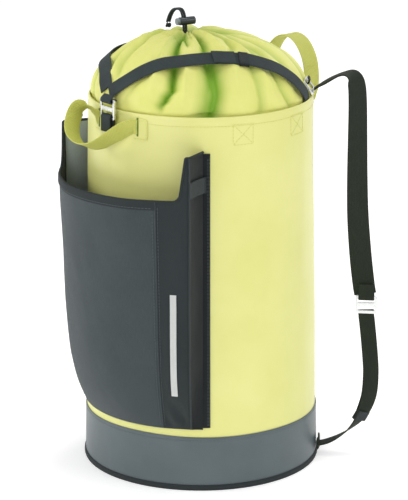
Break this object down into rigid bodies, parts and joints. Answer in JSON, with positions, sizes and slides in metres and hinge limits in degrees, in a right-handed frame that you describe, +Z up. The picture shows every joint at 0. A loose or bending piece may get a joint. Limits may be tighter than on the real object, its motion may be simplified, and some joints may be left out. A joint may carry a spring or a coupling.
{
  "type": "rope storage bag",
  "caption": "Upright rope bag with a tarpaulin tube, gathered drawcord collar, bellows tool pocket, closure strap with hook, carrying handles and shoulder straps.",
  "frame": {"origin": "middle of the base's underside", "axes": "+Z up along the tube, -Y towards the tool pocket, +X to the bag's side"},
  "size_m": [0.3334, 0.3523, 0.5767],
  "materials": {
    "lime_tarpaulin": "coated woven tarpaulin, satin",
    "grey_tarpaulin": "coated woven tarpaulin, matt",
    "dark_binding": "woven binding tape",
    "lime_collar_fabric": "light ripstop nylon, soft sheen",
    "black_cord": "braided cord",
    "dark_plastic": "moulded, glossy",
    "grey_plastic": "moulded, satin",
    "spring_steel": "drawn wire",
    "charcoal_webbing": "woven webbing",
    "black_elastic": "ribbed elastic",
    "bright_aluminium": "tumbled, bright",
    "lime_webbing": "ribbed webbing",
    "pocket_cloth": "coated polyester weave",
    "grey_webbing": "woven webbing",
    "black_webbing": "woven webbing"
  },
  "bodies": {
    "bag": {"tarp_tube": "lime_tarpaulin", "rim_hem": "lime_tarpaulin", "front_handle_patches": "lime_tarpaulin", "back_handle_patches": "lime_tarpaulin", "base_band": "grey_tarpaulin", "base_disc": "grey_tarpaulin", "base_piping": "dark_binding", "pocket_mouth_binding": "dark_binding", "collar": "lime_collar_fabric", "collar_mouth": "lime_collar_fabric", "drawcord_channel_loop": "black_cord", "drawcord_strand_front": "black_cord", "drawcord_strand_rear": "black_cord", "drawcord_knot": "black_cord", "closure_strap_right": "charcoal_webbing", "closure_strap_left": "charcoal_webbing", "closure_strap_wrap": "charcoal_webbing", "strap_tail_fold": "charcoal_webbing", "strap_keeper": "black_elastic", "strap_ring_right": "bright_aluminium", "strap_ring_left": "bright_aluminium", "rim_loop": "lime_webbing", "front_handle_ends": "lime_webbing", "back_handle_ends": "lime_webbing", "inner_loop_right": "lime_webbing", "inner_loop_left": "lime_webbing", "pocket_front_panel": "pocket_cloth", "pocket_side_panel_right": "pocket_cloth", "pocket_side_panel_left": "pocket_cloth", "pocket_gusset_right": "pocket_cloth", "pocket_gusset_left": "pocket_cloth", "pocket_flange_right": "pocket_cloth", "pocket_flange_left": "pocket_cloth", "pocket_side_tab_right": "grey_webbing", "pocket_side_tab_left": "grey_webbing", "base_anchor_tab_right": "black_webbing", "base_anchor_tab_left": "black_webbing", "ring_anchor_right": "black_webbing", "ring_anchor_left": "black_webbing"},
    "front_handle": {"front_handle": "lime_webbing"},
    "back_handle": {"back_handle": "lime_webbing"},
    "closure_hook": {"closure_hook": "bright_aluminium"},
    "pull_tab": {"hook_pull_tab": "charcoal_webbing"},
    "shoulder_strap_right": {"shoulder_strap_right": "black_webbing", "adjuster_right": "bright_aluminium", "adjuster_loop_right": "black_webbing", "lower_webbing_right": "black_webbing", "webbing_tail_right": "black_webbing", "webbing_keeper_right": "black_elastic"},
    "shoulder_strap_left": {"shoulder_strap_left": "black_webbing", "adjuster_left": "bright_aluminium", "adjuster_loop_left": "black_webbing", "lower_webbing_left": "black_webbing", "webbing_tail_left": "black_webbing", "webbing_keeper_left": "black_elastic"},
    "cord_lock": {"cord_lock_barrel": "dark_plastic", "cord_lock_spring": "spring_steel"},
    "cord_lock_button": {"cord_lock_button": "grey_plastic"}
  },
  "joints": [
    {"name": "front_handle_swing", "type": "hinge", "parent": "bag", "child": "front_handle", "pos_m": [0, -0.146, 0.452], "axis": [-1, 0, 0], "range_deg": [-30, 75]},
    {"name": "back_handle_swing", "type": "hinge", "parent": "bag", "child": "back_handle", "pos_m": [0, 0.1505, 0.452], "axis": [-1, 0, 0], "range_deg": [0, 120]},
    {"name": "closure_hook_swing", "type": "hinge", "parent": "bag", "child": "closure_hook", "pos_m": [0, -0.147, 0.484], "axis": [-1, 0, 0], "range_deg": [0, 22]},
    {"name": "pull_tab_swing", "type": "hinge", "parent": "closure_hook", "child": "pull_tab", "pos_m": [0, -0.147, 0.463], "axis": [-1, 0, 0], "range_deg": [0, 15]},
    {"name": "shoulder_strap_right_swing", "type": "hinge", "parent": "bag", "child": "shoulder_strap_right", "pos_m": [0.10824, 0.10094, 0.485], "axis": [-0.0178, -0.0166, 0.9997], "range_deg": [-30, 30]},
    {"name": "shoulder_strap_left_swing", "type": "hinge", "parent": "bag", "child": "shoulder_strap_left", "pos_m": [-0.10824, 0.10094, 0.485], "axis": [0.0178, -0.0166, 0.9997], "range_deg": [-30, 30]},
    {"name": "cord_lock_slide", "type": "slide", "parent": "bag", "child": "cord_lock", "axis": [0, 0, 1], "range_m": [-0.006, 0]},
    {"name": "cord_lock_button_press", "type": "slide", "parent": "cord_lock", "child": "cord_lock_button", "axis": [0.225, 0.9744, 0], "range_m": [0, 0.003], "stiffness_N_per_m": 400, "springref_m": -0.002}
  ]
}
